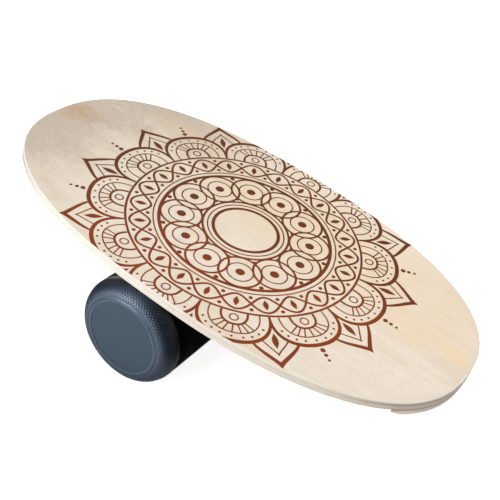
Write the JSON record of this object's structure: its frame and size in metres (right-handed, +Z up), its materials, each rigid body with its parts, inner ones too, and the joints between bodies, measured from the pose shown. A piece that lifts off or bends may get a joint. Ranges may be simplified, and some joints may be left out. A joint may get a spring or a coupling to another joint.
{
  "type": "rola bola",
  "caption": "Oval plywood balance board with a stopper under each end, resting on a loose roller with rounded end caps that rolls along its underside.",
  "frame": {"origin": "middle of the whole object's footprint, on the floor", "axes": "+X horizontal along the deck towards its low end, +Y along the roller's axis across the deck, +Z up"},
  "size_m": [0.7164, 0.458, 0.2942],
  "materials": {
    "deck": "pale birch plywood, clear satin lacquer, rounded edges that show the plies",
    "stopper": "birch plywood, sanded, plies showing on the edge",
    "print": "reddish-brown line print on the lacquered top",
    "grip": "dark moulded rubber with a fine dotted grip texture",
    "cap": "slate blue moulded plastic, dotted grip texture on the rounded shoulder",
    "disc": "smooth satin slate plastic",
    "core": "extruded grey pipe",
    "plug": "raw plywood",
    "screw": "zinc plated steel"
  },
  "bodies": {
    "roller_core": {"core_tube": "core"},
    "roller": {"grip_sleeve": "grip", "end_cap_near": "cap", "end_disc_near": "disc", "end_plug_near": "plug", "cap_near_screw_1": "screw", "cap_near_screw_2": "screw", "cap_near_screw_3": "screw", "cap_near_screw_4": "screw", "end_cap_far": "cap", "end_disc_far": "disc", "end_plug_far": "plug", "cap_far_screw_1": "screw", "cap_far_screw_2": "screw", "cap_far_screw_3": "screw", "cap_far_screw_4": "screw"},
    "deck": {"deck_board": "deck", "stopper_low": "stopper", "stopper_high": "stopper", "stopper_low_screw_1": "screw", "stopper_low_screw_2": "screw", "stopper_low_screw_3": "screw", "stopper_low_screw_4": "screw", "stopper_high_screw_1": "screw", "stopper_high_screw_2": "screw", "stopper_high_screw_3": "screw", "stopper_high_screw_4": "screw"}
  },
  "joints": [
    {"name": "deck_travel", "type": "slide", "parent": "roller_core", "child": "deck", "axis": [0.933, 0, -0.3599], "range_m": [-0.327, 0.275]},
    {"name": "roller_spin", "type": "hinge", "parent": "roller_core", "child": "roller", "pos_m": [-0.05368, 0, 0.08], "axis": [0, 1, 0], "range_deg": [-235, 197]}
  ],
  "couplings": [
    {"joint": "roller_spin", "follows": "deck_travel", "rad_per_m": 12.5}
  ]
}
